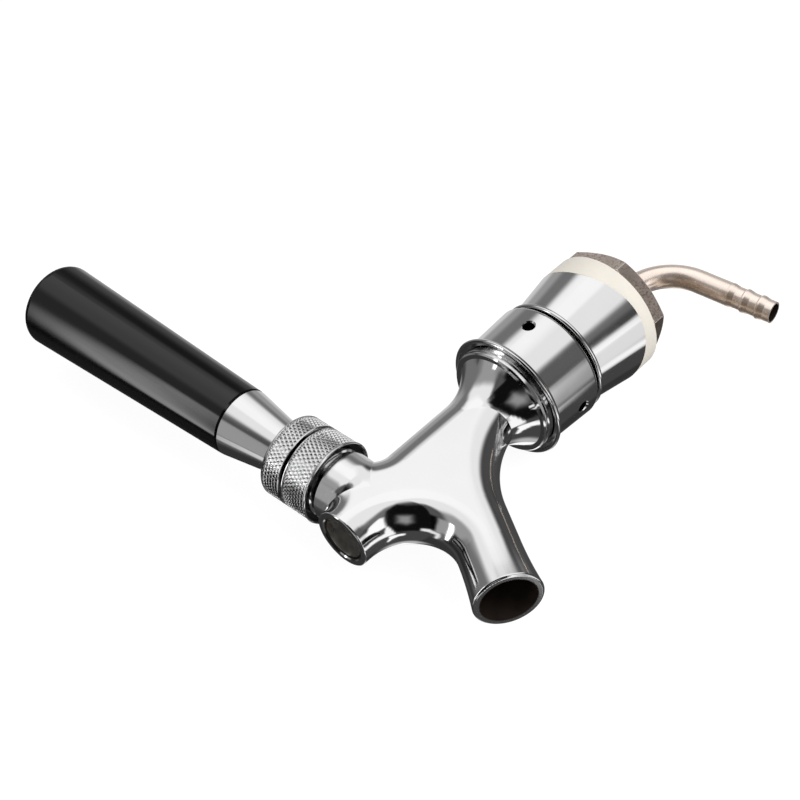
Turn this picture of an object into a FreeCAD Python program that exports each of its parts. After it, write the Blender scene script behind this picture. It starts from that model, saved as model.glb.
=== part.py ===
import FreeCAD, Part
import math
import os

V = FreeCAD.Vector
X = V(1, 0, 0)
Y = V(0, 1, 0)
Z = V(0, 0, 1)
ORIGIN = V(0, 0, 0)

# Sizes in mm. The origin is on the shank's axis where it meets the round tower's wall,
# +Y runs on through the wall, -Y comes out to the person who pours, +Z is up the handle.

# Stations along the shank's axis
flange_length = 15.4
nut_gap = 1.0
nut_length = 18.0
nut_to_spout = 25.0
spout_to_handle = 27.4
lip_run = 0.55
arch_run = 0.657

# Cast body
tube_radius = 8.65
lip_round = 0.5
lip_length = 1.6
lip_chamfer = 0.4
spout_tilt = 31.0
spout_length = 53.9
spout_flare = 0.92
spout_wall = 0.91
spout_bore_length = 34.0
spout_throat_step = 0.5
spout_rim_round = 0.7
back_crotch = 37.0
neck_back_crotch = 4.2
neck_front_crotch = 2.5
bell_start = 17.1
bell_ring_inset = 2.6
bell_ring_step = 1.7
bell_ring_lead = 3.2
bell_ring_tail = 1.5
bell_groove_start = 1.6
bell_groove = 0.3
spigot_step = 2.1
spigot_length = 7.0
neck_swell = 1.55
neck_swell_start = 1.0
neck_swell_end = 8.5
neck_flare = 1.75
neck_ring_drop = 1.3
neck_groove_step = 0.9
neck_thread_step = 0.4

# Sliding shaft
shaft_radius = 6.5
shaft_recess = 0.5
shaft_edge = 0.5
piston_back = 12.8
stem_radius = 3.2
stud_radius = 2.4
guide_length = 6.0
guide_flat = 4.9
seal_groove_radius = 4.8
seal_groove_width = 1.8
seal_groove_inset = 3.0
seat_radius = 8.3
chamber_gap = 2.2
seat_cone_depth = 2.05
seat_thickness = 3.2
seat_washer_thickness = 0.8
shaft_nut_flats = 9.0
shaft_nut_length = 4.0

# Ball lever
pivot_height = 16.0
lever_range = 20.0
ball_inset = 0.6
arm_root_share = 0.4
tip_radius = 2.6
arm_radius = 1.9
lever_neck_radius = 3.4
lever_thread_radius = 4.76
insert_floor = 6.0

# Bonnet and the collar above it, both knurled, on a neck that leans a little forward
neck_lean = 1.26
bonnet_base = 14.5
bonnet_top = 23.5
bonnet_wall = 2.2
bonnet_lip_step = 0.2
bonnet_lip_length = 1.1
bonnet_recess_wall = 1.0
collar_top = 31.7
collar_round = 0.9
neck_bore = 6.5
cup_wall = 1.05
cup_shelf = 9.7
cup_washer_top = 14.0
neck_rim = 17.7
friction_washer_gap = 0.2

# Handle
ferrule_bottom_radius = 7.1
ferrule_top = 51.0
ferrule_top_radius = 10.16
ferrule_socket_depth = 7.0
ferrule_socket_radius = 7.5
insert_radius = 6.0
insert_length = 22.0
grip_bottom_radius = 10.25
grip_radius = 12.8
grip_top = 131.8
grip_end_round = 2.5

# Coupling nut, shank and wall pieces
nut_bead_radius = 19.0
nut_bead_round = 0.65
nut_step_depth = 1.9
nut_front_step = 1.7
nut_back_step = 0.93
nut_hole_radius = 1.7
nut_hole_depth = 2.0
nut_back_round = 1.3
nut_hole_station = 11.4
nut_hole_angles = (4.0, 83.5)
nut_lip_length = 3.8
nut_lip_step = 1.5
gasket_thickness = 2.0
gasket_width = 4.5
shank_head_length = 4.9
shank_thread_step = 1.39
shank_tail = 16.6
shank_mouth_radius = 8.0
shank_mouth_depth = 8.0
shank_cone_length = 6.0
wall_radius = 50.8
wall_turn = 36.0
flange_bead_step = 1.4
flange_bead_length = 1.5
flange_front_step = 2.5
flange_back_step = 0.4
flange_rim_width = 3.9
flange_hollow_depth = 6.0
flange_seat_depth = 5.0
washer_thickness = 8.7
washer_step = 0.2
lock_nut_step = 0.48
lock_nut_length = 5.6
lock_nut_angle = -12.0

# Elbow tube
tube_outer = 3.5
tube_wall = 0.8
tube_socket_depth = 10.0
tube_bend_start = 20.1
tube_bend_radius = 15.2
tube_bend_angle = 84.25
tube_leg = 24.2
barb_step = 0.25
barb_rise = 0.35
barb_pitch = 4.85
barb_length = 2.2
barb_count = 3
barb_tip = 2.2

# Clearances
running_gap = 0.05
thread_gap = 0.02
free_gap = 0.3
turn_gap = 0.09
saddle_gap = 0.2
collar_gap = 0.5
swing_margin = 1.5

spout_mouth_radius = tube_radius + spout_flare
spout_bore = tube_radius - spout_wall
bell_ring_radius = nut_bead_radius - bell_ring_inset
bell_radius = bell_ring_radius - bell_ring_step
bell_rise = bell_radius - tube_radius
spigot_radius = bell_ring_radius - spigot_step
chamber_radius = seat_radius + chamber_gap
neck_body_radius = tube_radius + neck_swell
neck_top_radius = tube_radius + neck_flare
neck_thread_radius = neck_top_radius - neck_thread_step
bonnet_radius = neck_thread_radius + bonnet_wall
bonnet_lip_radius = bonnet_radius + bonnet_lip_step
bonnet_recess_radius = bonnet_lip_radius - bonnet_recess_wall
cup_radius = tube_radius - cup_wall
ball_radius = cup_radius - ball_inset
arm_root_radius = ball_radius * arm_root_share
friction_washer_radius = neck_thread_radius - friction_washer_gap
nut_front_radius = nut_bead_radius - nut_front_step
nut_lip_radius = spigot_radius - nut_lip_step
nut_back_radius = nut_bead_radius - nut_back_step
flange_bead_radius = nut_bead_radius - flange_bead_step
flange_front_radius = nut_bead_radius - flange_front_step
flange_back_radius = nut_bead_radius + flange_back_step
flange_hollow_radius = flange_back_radius - flange_rim_width
washer_radius = nut_bead_radius - washer_step
lock_nut_corners = nut_bead_radius - lock_nut_step
shank_step_radius = nut_lip_radius - free_gap
shank_thread_radius = shank_step_radius - shank_thread_step
gasket_bore = spigot_radius - free_gap - gasket_width
tube_bore = tube_outer - tube_wall
barb_valley = tube_outer - barb_step
barb_radius = barb_valley + barb_rise
lever_top = ferrule_top - ferrule_socket_depth + insert_length - insert_floor
handle_to_lip = tube_radius + neck_front_crotch + lip_run + lip_length
nut_back = -(flange_length + nut_gap)
nut_front = nut_back - nut_length
spout_y = nut_front - nut_to_spout
handle_y = spout_y - spout_to_handle
lip_y = handle_y - handle_to_lip
bell_y = nut_front - bell_start
ring_y = nut_front - bell_ring_lead
body_back = nut_front + spigot_length
seat_y = ring_y - 0.8
bore_radius = shaft_radius + running_gap
gasket_back = body_back + gasket_thickness
head_back = gasket_back + shank_head_length
flange_seat_y = -flange_length + flange_seat_depth

spout_angle = math.radians(spout_tilt)
arch_half = (math.pi / 2 - spout_angle) / 2
arch_reach = spout_to_handle + handle_to_lip - lip_length - arch_run
arch_crotch = arch_reach * math.tan(arch_half) - tube_radius
spout_way = V(0, -math.sin(spout_angle), -math.cos(spout_angle))
spout_root = V(0, spout_y, 0)
neck_root = V(0, handle_y, 0)
neck_angle = math.radians(neck_lean)
neck_way = V(0, -math.sin(neck_angle), math.cos(neck_angle))
neck_front = V(0, -math.cos(neck_angle), -math.sin(neck_angle))
tilt = math.radians(lever_range + swing_margin)
wall_way = V(math.cos(math.radians(wall_turn)), 0, math.sin(math.radians(wall_turn)))
flange_back = wall_radius - math.sqrt(wall_radius ** 2 - flange_back_radius ** 2)
dome_radius = math.hypot(bonnet_radius, bonnet_top - pivot_height)
collar_inner = dome_radius + collar_gap


def outline(start, *steps):
    """Closed outline of (radius, height) points; a step of four numbers is an arc
    through the first pair to the second."""
    edges = []
    here = V(start[0], 0, start[1])
    first = here
    for step in steps:
        end = V(step[-2], 0, step[-1])
        if len(step) == 4:
            middle = V(step[0], 0, step[1])
            edges.append(Part.Arc(here, middle, end).toShape())
        else:
            edges.append(Part.makeLine(here, end))
        here = end
    if (here - first).Length > 1e-6:
        edges.append(Part.makeLine(here, first))
    return Part.Face(Part.Wire(edges))


def turned(face, at=ORIGIN, along=Z):
    """The outline revolved about its height axis, then placed."""
    solid = face.revolve(ORIGIN, Z, 360)
    solid.Placement = FreeCAD.Placement(at, FreeCAD.Rotation(Z, along))
    return solid


def rod(radius, start, end):
    way = end - start
    return Part.makeCylinder(radius, way.Length, start, way)


def half_disc(centre, side):
    """Half of the tube's round section, bulging to the given side of its axis."""
    across = X * tube_radius
    arc = Part.Arc(centre + across, centre + side * tube_radius, centre - across)
    flat = Part.makeLine(centre - across, centre + across)
    return Part.Face(Part.Wire([arc.toShape(), flat]))


def half_rod(start, end, side):
    return half_disc(start, side).extrude(end - start)


def crotch(corner, way_a, way_b, radius):
    """Solid web between two branches that leave one corner, with a rolled inside edge.
    Returns its two pieces and how far along each branch it reaches."""
    half = way_a.getAngle(way_b) / 2
    reach = radius + tube_radius
    length = reach / math.tan(half)
    middle = (way_a + way_b).normalize()
    centre = corner + middle * (reach / math.sin(half))
    start = corner + way_a * length
    end = corner + way_b * length
    arc = Part.Arc(start, centre - middle * reach, end).toShape()
    lines = [Part.makeLine(corner, start), arc, Part.makeLine(end, corner)]
    plate = Part.Face(Part.Wire(lines))
    plate.translate(X * -tube_radius)
    plate = plate.extrude(X * (2 * tube_radius))
    side = (centre - start).normalize()
    axis = (start - centre).cross(end - centre).normalize()
    turn = 180 - math.degrees(2 * half)
    roll = half_disc(start, side).revolve(centre, axis, turn)
    return [plate, roll], length


def branches():
    """Outside of the four tubes and the webs that blend them, as cells side by side."""
    forward = V(0, -1, 0)
    back = V(0, 1, 0)
    top_back, reach_a = crotch(neck_root, back, neck_way, neck_back_crotch)
    top_front, reach_b = crotch(neck_root, forward, neck_way, neck_front_crotch)
    arch, reach_c = crotch(spout_root, forward, spout_way, arch_crotch)
    heel, reach_d = crotch(spout_root, back, spout_way, back_crotch)
    under = V(0, 0, -1)
    front_side = spout_way.cross(X).normalize()
    if front_side.y > 0:
        front_side = front_side * -1
    neck_end = neck_root + neck_way * (bonnet_base - 0.1)
    spout_blend = spout_root + spout_way * reach_c
    cells = top_back + top_front + arch + heel
    front = V(0, lip_y + lip_length, 0)
    rear = V(0, bell_y, 0)
    heel_end = spout_root + Y * min(reach_d, bell_y - spout_y)
    cells.append(half_rod(front, neck_root - Y * reach_b, Z))
    cells.append(half_rod(neck_root + Y * reach_a, rear, Z))
    cells.append(half_rod(front, spout_root - Y * reach_c, under))
    if heel_end.y < rear.y - 0.01:
        cells.append(half_rod(heel_end, rear, under))
    cells.append(half_rod(neck_root + neck_way * reach_b, neck_end, neck_front))
    cells.append(half_rod(neck_root + neck_way * reach_a, neck_end, neck_front * -1))
    cells.append(half_rod(spout_root + spout_way * reach_d, spout_blend, front_side * -1))
    body = cells[0].multiFuse(cells[1:])
    return body, spout_blend


def spout_end(start):
    length = spout_length - (start - spout_root).Length
    round_off = spout_rim_round
    lip = spout_mouth_radius
    inner = lip - 2 * round_off
    bend = round_off * (1 - math.sqrt(0.5))
    run = length - round_off
    sweep = (spout_flare ** 2 + run ** 2) / (2 * spout_flare)
    half = math.asin(run / sweep) / 2
    middle = (tube_radius + sweep * (1 - math.cos(half)), sweep * math.sin(half))
    face = outline(
        (0, 0),
        (tube_radius, 0),
        (*middle, lip, run),
        (lip - bend, length - bend, lip - round_off, length),
        (inner, length),
        (0, length),
    )
    return turned(face, start, spout_way)


def front_lip():
    bend = lip_round
    corner = bend * (1 - math.sqrt(0.5))
    edge = tube_radius - bend
    face = outline(
        (0, 0),
        (tube_radius, 0),
        (tube_radius, lip_length - bend),
        (tube_radius - corner, lip_length - corner, edge, lip_length),
        (0, lip_length),
    )
    return turned(face, V(0, lip_y + lip_length, 0), V(0, -1, 0))


def bell():
    """Trumpet behind the spout, its stepped ring and the threaded spigot."""
    rise = bell_radius - tube_radius
    run = ring_y - bell_y
    sweep = (rise * rise + run * run) / (2 * rise)
    half = math.asin(run / sweep) / 2
    middle = (tube_radius + sweep * (1 - math.cos(half)), sweep * math.sin(half))
    edge = 0.4
    ring_end = run + bell_ring_lead + bell_ring_tail
    groove = run + bell_groove_start
    face = outline(
        (0, 0),
        (tube_radius, 0),
        (*middle, bell_radius, run),
        (bell_ring_radius - edge, run),
        (bell_ring_radius, run + edge),
        (bell_ring_radius, groove - bell_groove),
        (bell_ring_radius - bell_groove, groove),
        (bell_ring_radius, groove + bell_groove),
        (bell_ring_radius, ring_end - edge),
        (bell_ring_radius - edge, ring_end),
        (spigot_radius, ring_end),
        (spigot_radius, body_back - bell_y - 0.8),
        (spigot_radius - 0.8, body_back - bell_y),
        (0, body_back - bell_y),
    )
    return turned(face, V(0, bell_y, 0), Y)


def neck_top():
    """Swells softly out of the tube, ends in a ring, then the groove and the thread."""
    middle = (neck_swell_start + neck_swell_end) / 2
    half = (neck_swell_end - neck_swell_start) / 2
    waist = tube_radius + neck_swell / 2
    ring = bonnet_base - neck_ring_drop
    groove = neck_thread_radius + neck_thread_step - neck_groove_step
    face = outline(
        (0, neck_swell_start),
        (tube_radius, neck_swell_start),
        (tube_radius + neck_swell / 8, neck_swell_start + half / 2, waist, middle),
        (neck_body_radius - neck_swell / 8, middle + half / 2, neck_body_radius, neck_swell_end),
        (neck_top_radius, ring - 0.2),
        (neck_top_radius - 0.2, ring),
        (groove, ring),
        (groove, bonnet_base + 0.3),
        (neck_thread_radius, bonnet_base + 0.6),
        (neck_thread_radius, neck_rim),
        (0, neck_rim),
    )
    return turned(face, neck_root, neck_way)


def faucet_body():
    body, spout_blend = branches()
    body = body.multiFuse([spout_end(spout_blend), front_lip(), bell(), neck_top()])
    body = body.removeSplitter()
    seat_cone = outline(
        (0, 0),
        (bore_radius, 0),
        (bore_radius + seat_cone_depth, seat_cone_depth),
        (chamber_radius, seat_cone_depth),
        (chamber_radius, body_back - seat_y + 1),
        (0, body_back - seat_y + 1),
    )
    throat = spout_length - spout_bore_length
    throat_radius = spout_bore - spout_throat_step
    tools = [
        rod(bore_radius, V(0, lip_y - 1, 0), V(0, seat_y, 0)),
        Part.makeCone(bore_radius + lip_chamfer, bore_radius, lip_chamfer, V(0, lip_y, 0), Y),
        turned(seat_cone, V(0, seat_y, 0), Y),
        rod(spout_bore, spout_root + spout_way * throat, spout_root + spout_way * (spout_length + 1)),
        rod(throat_radius, spout_root, spout_root + spout_way * (throat + 1)),
        rod(neck_bore, neck_root, neck_root + neck_way * cup_shelf),
        rod(cup_radius, neck_root + neck_way * cup_shelf, neck_root + neck_way * (neck_rim + 1)),
    ]
    return body.cut(Part.makeCompound(tools))


def bonnet():
    """Knurled nut that holds the ball down, domed about the ball's centre."""
    slope = math.tan(tilt)
    offset = lever_neck_radius / math.cos(tilt) + 0.15
    rise = (math.sqrt(dome_radius ** 2 * (1 + slope ** 2) - offset ** 2) - slope * offset)
    rise = rise / (1 + slope ** 2)
    hole_top = (slope * rise + offset, pivot_height + rise)
    ceiling = washer_ceiling()
    hole_bottom = slope * (ceiling - pivot_height) + offset
    start = math.atan2(bonnet_top - pivot_height, bonnet_radius)
    end = math.atan2(rise, hole_top[0])
    half = (start + end) / 2
    crown = (dome_radius * math.cos(half), pivot_height + dome_radius * math.sin(half))
    lip_top = bonnet_base + bonnet_lip_length
    face = outline(
        (bonnet_recess_radius, bonnet_base),
        (bonnet_lip_radius - 0.35, bonnet_base),
        (bonnet_lip_radius, bonnet_base + 0.35),
        (bonnet_lip_radius, lip_top - 0.2),
        (bonnet_radius, lip_top),
        (bonnet_radius, bonnet_top),
        (*crown, *hole_top),
        (hole_bottom, ceiling),
        (neck_thread_radius + thread_gap, ceiling),
        (neck_thread_radius + thread_gap, bonnet_base + 0.9),
        (bonnet_recess_radius, bonnet_base + 0.9),
    )
    return turned(face, neck_root, neck_way)


def washer_ceiling():
    """Height where the friction washer's cup would meet the swinging lever."""
    reach = ball_radius + running_gap
    angle = math.asin(lever_neck_radius / reach) + tilt
    return pivot_height + reach * math.cos(angle)


def friction_washer():
    reach = ball_radius + running_gap
    top = washer_ceiling()
    inner_top = math.sqrt(reach ** 2 - (top - pivot_height) ** 2)
    inner_bottom = math.sqrt(reach ** 2 - (neck_rim - pivot_height) ** 2)
    middle = (top + neck_rim) / 2 - pivot_height
    arc = math.sqrt(reach ** 2 - middle ** 2)
    face = outline(
        (inner_bottom, neck_rim),
        (friction_washer_radius, neck_rim),
        (friction_washer_radius, top),
        (inner_top, top),
        (arc, pivot_height + middle, inner_bottom, neck_rim),
    )
    return turned(face, neck_root, neck_way)


def ball_washer():
    """Seat under the ball, with a hole that the lever's arm swings in."""
    reach = ball_radius + running_gap
    slant = math.tan(tilt) * (pivot_height - cup_shelf)
    inner_low = slant + arm_root_radius / math.cos(tilt) + free_gap
    low = pivot_height - math.sqrt(reach ** 2 - inner_low ** 2)
    inner_top = math.sqrt(reach ** 2 - (pivot_height - cup_washer_top) ** 2)
    middle = pivot_height - (low + cup_washer_top) / 2
    arc = math.sqrt(reach ** 2 - middle ** 2)
    face = outline(
        (inner_low, cup_shelf),
        (cup_radius - thread_gap, cup_shelf),
        (cup_radius - thread_gap, cup_washer_top),
        (inner_top, cup_washer_top),
        (arc, pivot_height - middle, inner_low, low),
    )
    return turned(face, neck_root, neck_way)


def lever():
    """One turned piece: tip in the shaft's slot, arm, ball, neck and handle thread."""
    tip_rise = math.sqrt(tip_radius ** 2 - arm_radius ** 2)
    ball_low = math.sqrt(ball_radius ** 2 - arm_root_radius ** 2)
    ball_high = math.sqrt(ball_radius ** 2 - lever_neck_radius ** 2)
    reach = dome_radius + free_gap
    shoulder = pivot_height + math.sqrt(reach ** 2 - lever_thread_radius ** 2)
    end = 0.7
    face = outline(
        (0, -tip_radius),
        (tip_radius, 0, arm_radius, tip_rise),
        (arm_root_radius, pivot_height - ball_low),
        (ball_radius, pivot_height, lever_neck_radius, pivot_height + ball_high),
        (lever_neck_radius, shoulder),
        (lever_thread_radius, shoulder),
        (lever_thread_radius, lever_top - end),
        (lever_thread_radius - end, lever_top),
        (0, lever_top),
    )
    return turned(face, neck_root, neck_way)


def lever_collar():
    """Knurled cap whose hollow underside glides round the bonnet's dome."""
    hole = lever_thread_radius + thread_gap
    rim = pivot_height + math.sqrt(collar_inner ** 2 - bonnet_radius ** 2)
    roof = pivot_height + math.sqrt(collar_inner ** 2 - hole ** 2)
    start = math.atan2(rim - pivot_height, bonnet_radius)
    end = math.atan2(roof - pivot_height, hole)
    half = (start + end) / 2
    crown = (collar_inner * math.cos(half), pivot_height + collar_inner * math.sin(half))
    edge = 0.25
    bend = collar_round * (1 - math.sqrt(0.5))
    top_radius = bonnet_radius - collar_round
    face = outline(
        (hole, roof),
        (*crown, bonnet_radius - edge, rim + edge * 0.6),
        (bonnet_radius, rim + edge * 1.6),
        (bonnet_radius, collar_top - collar_round),
        (bonnet_radius - bend, collar_top - bend, top_radius, collar_top),
        (hole, collar_top),
    )
    return turned(face, neck_root, neck_way)


def handle_ferrule():
    hole = lever_thread_radius + thread_gap
    shelf = ferrule_top - ferrule_socket_depth
    face = outline(
        (hole, collar_top),
        (ferrule_bottom_radius - 0.3, collar_top),
        (ferrule_bottom_radius, collar_top + 0.3),
        (ferrule_top_radius, ferrule_top - 0.4),
        (ferrule_top_radius - 0.3, ferrule_top),
        (ferrule_socket_radius, ferrule_top),
        (ferrule_socket_radius, shelf),
        (hole, shelf),
    )
    return turned(face, neck_root, neck_way)


def handle_insert():
    hole = lever_thread_radius + thread_gap
    low = ferrule_top - ferrule_socket_depth
    face = outline(
        (hole, low),
        (insert_radius, low),
        (insert_radius, low + insert_length),
        (0, low + insert_length),
        (0, low + insert_length - 3),
        (hole, low + insert_length - 4),
    )
    return turned(face, neck_root, neck_way)


def handle_grip():
    low = ferrule_top - ferrule_socket_depth
    edge = 0.5
    bend = grip_end_round * (1 - math.sqrt(0.5))
    face = outline(
        (insert_radius, low),
        (ferrule_socket_radius - thread_gap, low),
        (ferrule_socket_radius - thread_gap, ferrule_top),
        (grip_bottom_radius - edge, ferrule_top),
        (grip_bottom_radius, ferrule_top + edge),
        (grip_radius, grip_top - grip_end_round),
        (grip_radius - bend, grip_top - bend, grip_radius - grip_end_round, grip_top),
        (0, grip_top),
        (0, low + insert_length),
        (insert_radius, low + insert_length),
    )
    return turned(face, neck_root, neck_way)


def shaft():
    """Piston with the lever's slot, slim stem, square guide and the stud for the seat."""
    front = lip_y + shaft_recess
    back = handle_y + piston_back
    groove = front + seal_groove_inset
    guide_back = seat_y - 1.5
    shoulder = seat_y + 0.5
    nut_back_y = shoulder + seat_thickness + seat_washer_thickness + shaft_nut_length
    face = outline(
        (0, front),
        (shaft_radius - shaft_edge, front),
        (shaft_radius, front + shaft_edge),
        (shaft_radius, groove),
        (seal_groove_radius, groove),
        (seal_groove_radius, groove + seal_groove_width),
        (shaft_radius, groove + seal_groove_width),
        (shaft_radius, back - 1.5),
        (shaft_radius - 1.5, back),
        (stem_radius, back),
        (stem_radius, shoulder - 1.5),
        (stem_radius + 1.6, shoulder - 1.2),
        (stem_radius + 1.6, shoulder),
        (stud_radius, shoulder),
        (stud_radius, nut_back_y + 1.2),
        (stud_radius - 0.6, nut_back_y + 1.8),
        (0, nut_back_y + 1.8),
    )
    body = turned(face, ORIGIN, Y)
    guide = rod(shaft_radius, V(0, guide_back - guide_length, 0), V(0, guide_back, 0))
    block = Part.makeBox(2 * guide_flat, guide_length, 2 * guide_flat)
    block.translate(V(-guide_flat, guide_back - guide_length, -guide_flat))
    block.rotate(ORIGIN, Y, 45)
    body = body.fuse(guide.common(block))
    wide = tip_radius + free_gap
    lean = (shaft_radius + 1) * math.tan(tilt) + arm_radius + 0.8
    points = [(wide, -wide), (wide, shaft_radius + 1), (-lean, shaft_radius + 1)]
    points += [(-wide, 0.8), (-wide, -wide)]
    corners = [V(-wide, handle_y + y, z) for y, z in points]
    slot = Part.Face(Part.makePolygon(corners + corners[:1])).extrude(X * (2 * wide))
    return body.cut(slot).removeSplitter()


def shaft_seal():
    section = (shaft_radius - 0.02 - seal_groove_radius) / 2
    y = lip_y + shaft_recess + seal_groove_inset + seal_groove_width / 2
    return Part.makeTorus(seal_groove_radius + section, section, V(0, y, 0), Y)


def shaft_seat():
    """Rubber disc whose bevelled front closes on the body's cone."""
    front = seat_y + 0.5
    bevel = bore_radius + 0.5 - running_gap
    face = outline(
        (stud_radius + thread_gap, 0),
        (bevel, 0),
        (seat_radius, seat_radius - bevel),
        (seat_radius, seat_thickness),
        (stud_radius + thread_gap, seat_thickness),
    )
    return turned(face, V(0, front, 0), Y)


def seat_washer():
    start = seat_y + 0.5 + seat_thickness
    disc = rod(seat_radius - 1.5, V(0, start, 0), V(0, start + seat_washer_thickness, 0))
    hole = rod(stud_radius + thread_gap, V(0, start - 1, 0), V(0, start + 3, 0))
    return disc.cut(hole)


def hexagon(flats, length, start, turn):
    """Hexagon bar along Y with its corners turned off by a cone at the back."""
    corner = flats / 2 / math.cos(math.pi / 6)
    bar = Part.makeBox(4 * corner, length, flats, V(-2 * corner, start, -flats / 2))
    for step in (60, 120):
        other = Part.makeBox(4 * corner, length, flats, V(-2 * corner, start, -flats / 2))
        other.rotate(ORIGIN, Y, step)
        bar = bar.common(other)
    bar.rotate(ORIGIN, Y, turn)
    drop = (corner - flats / 2 * 0.98) * math.tan(math.radians(30))
    face = outline(
        (0, 0),
        (corner - 0.2, 0),
        (corner, 0.2),
        (corner, length - drop),
        (flats / 2 * 0.98, length),
        (0, length),
    )
    return bar.common(turned(face, V(0, start, 0), Y))


def shaft_nut():
    start = seat_y + 0.5 + seat_thickness + seat_washer_thickness
    nut = hexagon(shaft_nut_flats, shaft_nut_length, start, 0)
    hole = rod(stud_radius + thread_gap, V(0, start - 1, 0), V(0, start + 9, 0))
    return nut.cut(hole)


def coupling_gasket():
    ring = rod(spigot_radius - free_gap, V(0, body_back, 0), V(0, gasket_back, 0))
    return ring.cut(rod(gasket_bore, V(0, body_back - 1, 0), V(0, gasket_back + 1, 0)))


def coupling_nut():
    """Ring nut with a front bead, spanner holes and a back lip that hooks the shank."""
    thread = spigot_radius + running_gap
    cavity = spigot_radius + free_gap
    counterbore = bell_ring_radius + free_gap
    lip_y_front = nut_back - nut_lip_length + 0.1
    bead = nut_bead_round
    bead_centre = nut_bead_radius - bead
    bend = nut_back_round
    corner = bend * (1 - math.sqrt(0.5))
    face = outline(
        (thread, nut_front + nut_step_depth),
        (counterbore, nut_front + nut_step_depth),
        (counterbore, nut_front + 0.3),
        (bead_centre - bead, nut_front),
        (bead_centre, nut_front - bead, nut_bead_radius, nut_front),
        (nut_front_radius + 0.9, nut_front + 1.15, nut_front_radius, nut_front + 1.5),
        (nut_back_radius, nut_back - bend),
        (nut_back_radius - corner, nut_back - corner, nut_back_radius - bend, nut_back),
        (nut_lip_radius, nut_back),
        (nut_lip_radius, lip_y_front),
        (cavity, lip_y_front),
        (cavity, body_back + 0.5),
        (thread, body_back + 0.2),
    )
    nut = turned(face, ORIGIN, Y)
    for turn in nut_hole_angles + tuple(180 + angle for angle in nut_hole_angles):
        angle = math.radians(turn)
        way = V(math.cos(angle), 0, math.sin(angle))
        station = V(0, nut_front + nut_hole_station, 0)
        surface = nut_front_radius + (nut_back_radius - nut_front_radius) * 0.6
        floor = surface - nut_hole_depth
        nut = nut.cut(rod(nut_hole_radius, station + way * floor, station + way * 25))
        rim = Part.makeCone(
            nut_hole_radius, nut_hole_radius + 0.6, 0.6, station + way * (surface - 0.3), way
        )
        nut = nut.cut(rim)
    return nut


def shank_tube():
    """Threaded tube with the head that the coupling nut pulls on."""
    head_radius = spigot_radius
    mouth_back = gasket_back + shank_mouth_depth
    socket = shank_tail - tube_socket_depth
    edge = 0.8
    face = outline(
        (shank_mouth_radius, gasket_back),
        (head_radius, gasket_back),
        (head_radius, head_back),
        (shank_step_radius, head_back),
        (shank_step_radius, flange_seat_y),
        (shank_thread_radius, flange_seat_y),
        (shank_thread_radius, shank_tail - edge),
        (shank_thread_radius - edge, shank_tail),
        (tube_outer + thread_gap, shank_tail),
        (tube_outer + thread_gap, socket),
        (tube_bore, socket),
        (tube_bore, mouth_back + shank_cone_length),
        (shank_mouth_radius, mouth_back),
    )
    return turned(face, ORIGIN, Y)


def wall_cylinder(radius):
    """The round tower that the flange's hollow back sits on."""
    middle = Y * wall_radius
    return rod(radius, middle - wall_way * 40, middle + wall_way * 40)


def wall_flange():
    """Chromed cone over the shank, saddle-shaped behind to sit on a round tower."""
    bead = flange_bead_length / 2
    bead_y = -flange_length + bead
    gap = turn_gap
    seat = flange_seat_y + free_gap
    inside = -flange_hollow_depth
    face = outline(
        (shank_step_radius + gap, -flange_length),
        (flange_bead_radius - bead, -flange_length),
        (flange_bead_radius, bead_y, flange_bead_radius - bead, bead_y + bead),
        (flange_front_radius, bead_y + bead),
        (flange_back_radius, flange_back),
        (flange_hollow_radius, flange_back),
        (flange_hollow_radius, inside + 2),
        (flange_hollow_radius - 2, inside),
        (shank_thread_radius + gap, inside),
        (shank_thread_radius + gap, seat),
        (shank_step_radius + gap, seat),
    )
    return turned(face, ORIGIN, Y).cut(wall_cylinder(wall_radius))


def wall_washer():
    """Plastic washer whose round front fits the flange's saddle."""
    edge = 0.4
    bore = shank_thread_radius + turn_gap
    face = outline(
        (bore, 0),
        (washer_radius, 0),
        (washer_radius, washer_thickness - edge),
        (washer_radius - edge, washer_thickness),
        (bore, washer_thickness),
    )
    return turned(face, ORIGIN, Y).common(wall_cylinder(wall_radius - saddle_gap))


def lock_nut():
    flats = 2 * lock_nut_corners * math.cos(math.pi / 6)
    nut = hexagon(flats, lock_nut_length, washer_thickness + free_gap, -lock_nut_angle)
    bore = shank_thread_radius + thread_gap
    start = V(0, washer_thickness - 1, 0)
    return nut.cut(rod(bore, start, start + Y * (lock_nut_length + 2)))


def tube_frame():
    """Points of the elbow's centre line and the direction of its leg."""
    bend = math.radians(tube_bend_angle)
    start = V(0, shank_tail - tube_socket_depth, 0)
    bend_start = V(0, tube_bend_start, 0)
    centre = bend_start - Z * tube_bend_radius
    middle = centre + V(0, math.sin(bend / 2), math.cos(bend / 2)) * tube_bend_radius
    bend_end = centre + V(0, math.sin(bend), math.cos(bend)) * tube_bend_radius
    way = V(0, math.cos(bend), -math.sin(bend))
    return start, bend_start, middle, bend_end, way


def elbow_tube():
    start, bend_start, middle, bend_end, way = tube_frame()
    centre = bend_start - Z * tube_bend_radius

    def run(radius):
        straight = rod(radius, start, bend_start)
        disc = Part.Face(Part.Wire(Part.makeCircle(radius, bend_start, Y)))
        bend = disc.revolve(centre, V(-1, 0, 0), tube_bend_angle)
        return straight, bend

    outer = run(tube_outer)
    bore = rod(tube_bore, bend_end, bend_end + way * tube_leg)
    inner = run(tube_bore) + (bore,)
    plain = tube_leg - barb_tip - (barb_count - 1) * barb_pitch - barb_length
    leg = rod(tube_outer, bend_end, bend_end + way * plain)
    end = rod(barb_valley, bend_end, bend_end + way * tube_leg)
    barbs = [barb(bend_end, way, number) for number in range(barb_count)]
    tube = outer[0].multiFuse([outer[1], leg, end] + barbs)
    tube = tube.cut(inner[0]).cut(inner[1]).cut(inner[2])
    return tube.removeSplitter()


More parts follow.
